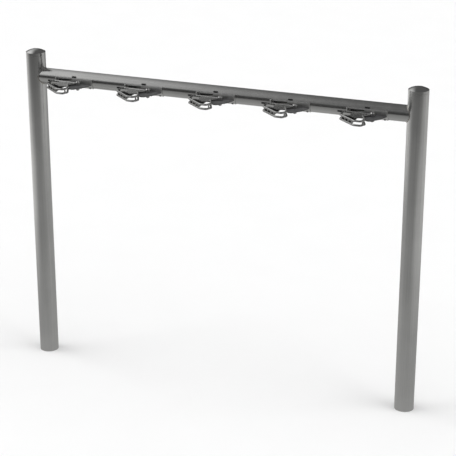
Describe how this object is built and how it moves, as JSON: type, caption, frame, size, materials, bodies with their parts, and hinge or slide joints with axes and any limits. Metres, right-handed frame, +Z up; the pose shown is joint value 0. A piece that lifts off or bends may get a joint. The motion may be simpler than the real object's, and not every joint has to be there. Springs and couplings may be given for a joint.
{
  "type": "monkey bars",
  "caption": "Monkey bars with one round beam on two domed posts and a row of swinging stirrup handles that pivot in front of the beam.",
  "frame": {"origin": "on the ground, midway between the two posts", "axes": "+X along the beam, -Y the side the handles reach out to, +Z up"},
  "size_m": [2.9486, 0.3492, 2.3705],
  "materials": {
    "brushed": "satin brushed stainless",
    "satin": "satin stainless",
    "polished": "polished stainless",
    "bead_blasted": "bead blasted stainless",
    "weld": "cleaned weld bead",
    "dark_coat": "dark grey satin coat",
    "rubber": "black rubber",
    "polymer": "black bearing polymer"
  },
  "bodies": {
    "frame": {"post_left": "brushed", "post_right": "brushed", "cap_left": "polished", "cap_right": "polished", "foot_plate_left": "bead_blasted", "foot_plate_right": "bead_blasted", "beam": "brushed", "weld_left": "weld", "weld_right": "weld", "saddle_screws": "polished", "pivot_nuts": "polished", "slot_plugs": "rubber", "saddle_1": "bead_blasted", "saddle_2": "bead_blasted", "saddle_3": "bead_blasted", "saddle_4": "bead_blasted", "saddle_5": "bead_blasted", "bracket_1": "dark_coat", "bracket_2": "dark_coat", "bracket_3": "dark_coat", "bracket_4": "dark_coat", "bracket_5": "dark_coat", "stop_pin_1": "polished", "stop_pin_2": "polished", "stop_pin_3": "polished", "stop_pin_4": "polished", "stop_pin_5": "polished", "beam_buffer_1": "rubber", "beam_buffer_2": "rubber", "beam_buffer_3": "rubber", "beam_buffer_4": "rubber", "beam_buffer_5": "rubber", "saddle_buffer_1": "rubber", "saddle_buffer_2": "rubber", "saddle_buffer_3": "rubber", "saddle_buffer_4": "rubber", "saddle_buffer_5": "rubber", "pivot_bolt_1": "polished", "pivot_bolt_2": "polished", "pivot_bolt_3": "polished", "pivot_bolt_4": "polished", "pivot_bolt_5": "polished"},
    "handle_1": {"eyes_1": "satin", "bushes_1": "polymer", "grip_1": "satin"},
    "handle_2": {"eyes_2": "satin", "bushes_2": "polymer", "grip_2": "satin"},
    "handle_3": {"eyes_3": "satin", "bushes_3": "polymer", "grip_3": "satin"},
    "handle_4": {"eyes_4": "satin", "bushes_4": "polymer", "grip_4": "satin"},
    "handle_5": {"eyes_5": "satin", "bushes_5": "polymer", "grip_5": "satin"}
  },
  "joints": [
    {"name": "swing_1", "type": "hinge", "parent": "frame", "child": "handle_1", "pos_m": [-1.035, -0.094, 2.16], "axis": [0, 0, 1], "range_deg": [0, 86]},
    {"name": "swing_2", "type": "hinge", "parent": "frame", "child": "handle_2", "pos_m": [-0.496, -0.094, 2.16], "axis": [0, 0, 1], "range_deg": [0, 86]},
    {"name": "swing_3", "type": "hinge", "parent": "frame", "child": "handle_3", "pos_m": [0.043, -0.094, 2.16], "axis": [0, 0, 1], "range_deg": [0, 86]},
    {"name": "swing_4", "type": "hinge", "parent": "frame", "child": "handle_4", "pos_m": [0.582, -0.094, 2.16], "axis": [0, 0, 1], "range_deg": [0, 86]},
    {"name": "swing_5", "type": "hinge", "parent": "frame", "child": "handle_5", "pos_m": [1.121, -0.094, 2.16], "axis": [0, 0, 1], "range_deg": [0, 86]}
  ]
}
